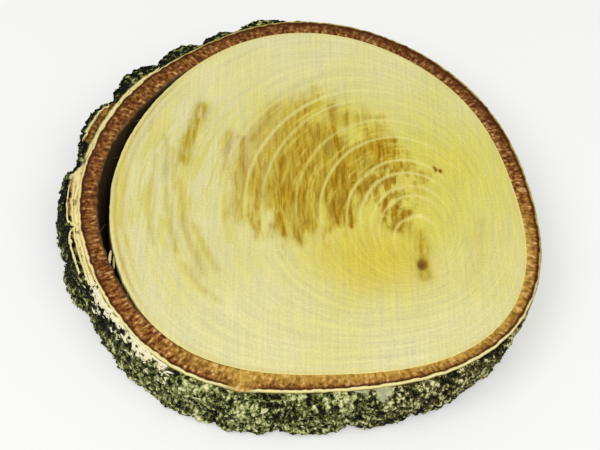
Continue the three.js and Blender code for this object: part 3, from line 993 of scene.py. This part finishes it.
# each flake is a small lens with an uneven outline, laid on the bark's surface and tilted at random
def scatterFlakes(flakes):
    rng = np.random.default_rng(flakes["seed"])
    n, sides = flakes["count"], flakeShape["sides"]
    angle = rng.uniform(*flakes["where"], n)
    height = rng.uniform(*flakes["heights"], n)
    radius, base, rough, relief = outerBarkSurface(angle, height)
    keep = (rough > 0.45) & (radius > base + innerBarkSwelling(angle) + 0.5)
    angle, height, radius = angle[keep], height[keep], radius[keep]
    n = len(angle)
    wide, tall, thick = [rng.uniform(*flakes[k], n)[:, None, None] / 2
                         for k in ("width", "tall", "thick")]
    ringRadius, ringRise = np.array(flakeShape["rings"]).T[:, None, :, None]
    turn = (np.arange(sides) * 2 * np.pi / sides)[None, None, :]
    uneven = rng.uniform(0.65, 1.25, (n, 1, sides))
    u = ringRadius * uneven * np.cos(turn) * wide
    v = ringRadius * uneven * np.sin(turn) * tall
    tiltU, tiltV = rng.normal(0, flakes["tilt"], (2, n, 1, 1))
    w = ringRise * thick + 0 * turn + u * tiltU + v * tiltV
    a = angle[:, None, None]
    centre = place(radius - 0.08, angle, height)[:, None, None, :] / mm
    outward = roundTrunk(a, 0.0, 1)
    across = outward[..., (1, 0, 2)] * (-1, 1, 1)
    grid = centre + u[..., None] * across + w[..., None] * outward
    grid[..., 2] = np.clip(grid[..., 2] + v, 0.05, cut["thickness"] - 0.05)
    tone = rng.uniform(0, 1, n)
    return grid * mm, angle, tone, 0 * u


# crumbs are darker beside the crack: painted shade, as on the bark there
def makeCrumbs():
    grid, angle, tone, blank = scatterFlakes(crumbs)
    tone = 0.88 * tone * (1 - 0.55 * span(angle, 118, 226, 20))
    return gridMesh("bark_crumbs", grid, True, {"tone": tone[:, None, None] + blank})


# chips are all as white as the whiter leaves
def makeChips():
    grid, _, tone, blank = scatterFlakes(chips)
    return gridMesh("paper_chips", grid, True, {"tone": tone[:, None, None] + blank, "whiter": 1 + blank})


finishPiece(makeChips(), paintPaperLeaves())


# cork, moss and lichen crumbs, matt, each in one of a few tones
crumbLook = {
    "tones": ((0.0, "#14150a"), (0.3, "#3f431d"), (0.5, "#757a3e"), (0.74, "#b2b576"), (0.93, "#ece6b6")),
    "speck": 0.5,
}


# each crumb's own tone, shifted a little by a noise, climbs through the tones in turn
def paintCrumbs():
    look = crumbLook
    material, add = newMaterial("lichen and cork crumbs", 0.9)
    spot = add("TexCoord", out="Object")
    tone = add("Attribute", out="Fac", attribute_name="tone")
    speck = add("TexNoise", {"Vector": spot, "Scale": 1 / (look["speck"] * mm), "Detail": 2})
    tone = add("Math", (speck, 0.5, tone), **plus)
    tone = add("Math", (tone, 0.25), operation="SUBTRACT")
    colour = linearColour(look["tones"][0][1])
    for (start, _), (end, hexValue) in zip(look["tones"][:-1], look["tones"][1:]):
        share = add("MapRange", (tone, start, end), **eased)
        colour = add("Mix", {0: share, 6: colour, 7: linearColour(hexValue)}, **asColour)
    return joinShader(material, add, colour, speck, 0.6, 0.2)


finishPiece(makeCrumbs(), paintCrumbs())

# splinters left across the crack: start and end as angle, distance from the wood and height, then radius
splinters = {
    "list": (((198.5, 0.5, 14.3), (203.8, 1.8, 14.6), 0.38), ((201, 0.2, 14.7), (205, 0.9, 14.2), 0.26),
             ((186, 0.6, 10.5), (190, 2.3, 11.2), 0.2), ((160, 0.5, 9.5), (164, 2.2, 11.5), 0.2),
             ((147, 0.3, 12.2), (150.5, 1.7, 12.8), 0.18), ((213, 0.1, 14.4), (216.5, 1.0, 14.5), 0.22)),
    "stations": 14,
    "sides": 8,
}


# a splinter runs straight from start to end, thickest in the middle and pointed at both ends
def makeSplinters():
    starts, ends, thick = [np.array(part)[..., None, None] for part in zip(*splinters["list"])]
    share = np.linspace(0, 1, splinters["stations"])[None, :, None]
    angle, distance, height = [starts[:, k] + (ends[:, k] - starts[:, k]) * share for k in range(3)]
    turn = (np.arange(splinters["sides"]) * 2 * np.pi / splinters["sides"])[None, None, :]
    along = np.stack(np.broadcast_arrays(angle * 2, turn, thick * 40), axis=-1)
    ridges = 1 + 0.3 * layeredNoise(along, 0.8, 163, 2)
    girth = thick * np.sin(np.pi * share) ** 0.6 * ridges
    radius = woodEdge(angle) - taperAt(height) + distance + girth * np.cos(turn)
    grid = place(radius, angle, height + girth * np.sin(turn) * 0.7)
    # the thinner splinters, most of which lie deep in the crack, get painted shade
    return gridMesh("crack_splinters", grid, True, {"shade": smoothStep(thick, 0.3, 0.2) + 0 * girth})


# torn birch fibres, cream at the top, and brown in the depth of the crack as painted shade
splinterLook = {"cream": "#f0e4ac", "brown": "#6d5230", "fibre": 0.3}  # fibres coarser than life, to show


# cream goes over to brown by the painted shade and a noise of fibres
def paintSplinters():
    look, hue = splinterLook, coloursOf(splinterLook)
    material, add = newMaterial("torn birch fibre", 0.7)
    spot = add("TexCoord", out="Object")
    shade = add("Attribute", out="Fac", attribute_name="shade")
    fibre = add("TexNoise", {"Vector": spot, "Scale": 1 / (look["fibre"] * mm), "Detail": 2})
    shade = add("Math", (fibre, 0.5, shade), **plus, use_clamp=True)
    colour = add("Mix", {0: shade, 6: hue["cream"], 7: hue["brown"]}, **asColour)
    return joinShader(material, add, colour, fibre, 0.5, 0.1)


finishPiece(makeSplinters(), paintSplinters())

# a white table lit a little from below, a soft even sky, and two broad lamps above the front
studio = {"floor": "#cccdcb", "glow": 0.37, "floorSize": 3, "sky": 0.4, "lampSize": 0.6,
          "lamps": ((3.6, (-0.36, -0.34, 0.76)), (2.5, (0.36, -0.36, 0.76)))}
floorMesh = bpy.data.meshes.new("floor")
half = studio["floorSize"] / 2
floorCorners = [(x, y, 0) for x, y in ((-half, -half), (half, -half), (half, half), (-half, half))]
floorMesh.from_pydata(floorCorners, [], [(0, 1, 2, 3)])
floor = bpy.data.objects.new("floor", floorMesh)
bpy.context.scene.collection.objects.link(floor)
floorPaint = newMaterial("white light table", 0.9)[0]
floorShader = floorPaint.node_tree.nodes["Principled BSDF"].inputs
floorShader["Base Color"].default_value = linearColour(studio["floor"])
floorShader["Emission Color"].default_value = white
floorShader["Emission Strength"].default_value = studio["glow"]
floorMesh.materials.append(floorPaint)

for power, (x, y, z) in studio["lamps"]:
    lamp = bpy.data.objects.new("soft_lamp", bpy.data.lights.new("soft_lamp", "AREA"))
    lamp.data.size = studio["lampSize"]
    lamp.data.energy = power
    lamp.location = (x, y, z)
    lamp.rotation_euler = (math.atan2(math.hypot(x, y), z), 0, math.atan2(-y, -x) - math.pi / 2)
    bpy.context.scene.collection.objects.link(lamp)
world = bpy.data.worlds.new("studio")
bpy.context.scene.world = world
world.use_nodes = True
sky = world.node_tree.nodes["Background"].inputs
sky["Color"].default_value, sky["Strength"].default_value = white, studio["sky"]
bpy.context.scene.view_settings.view_transform = "Standard"
print("studio ready")
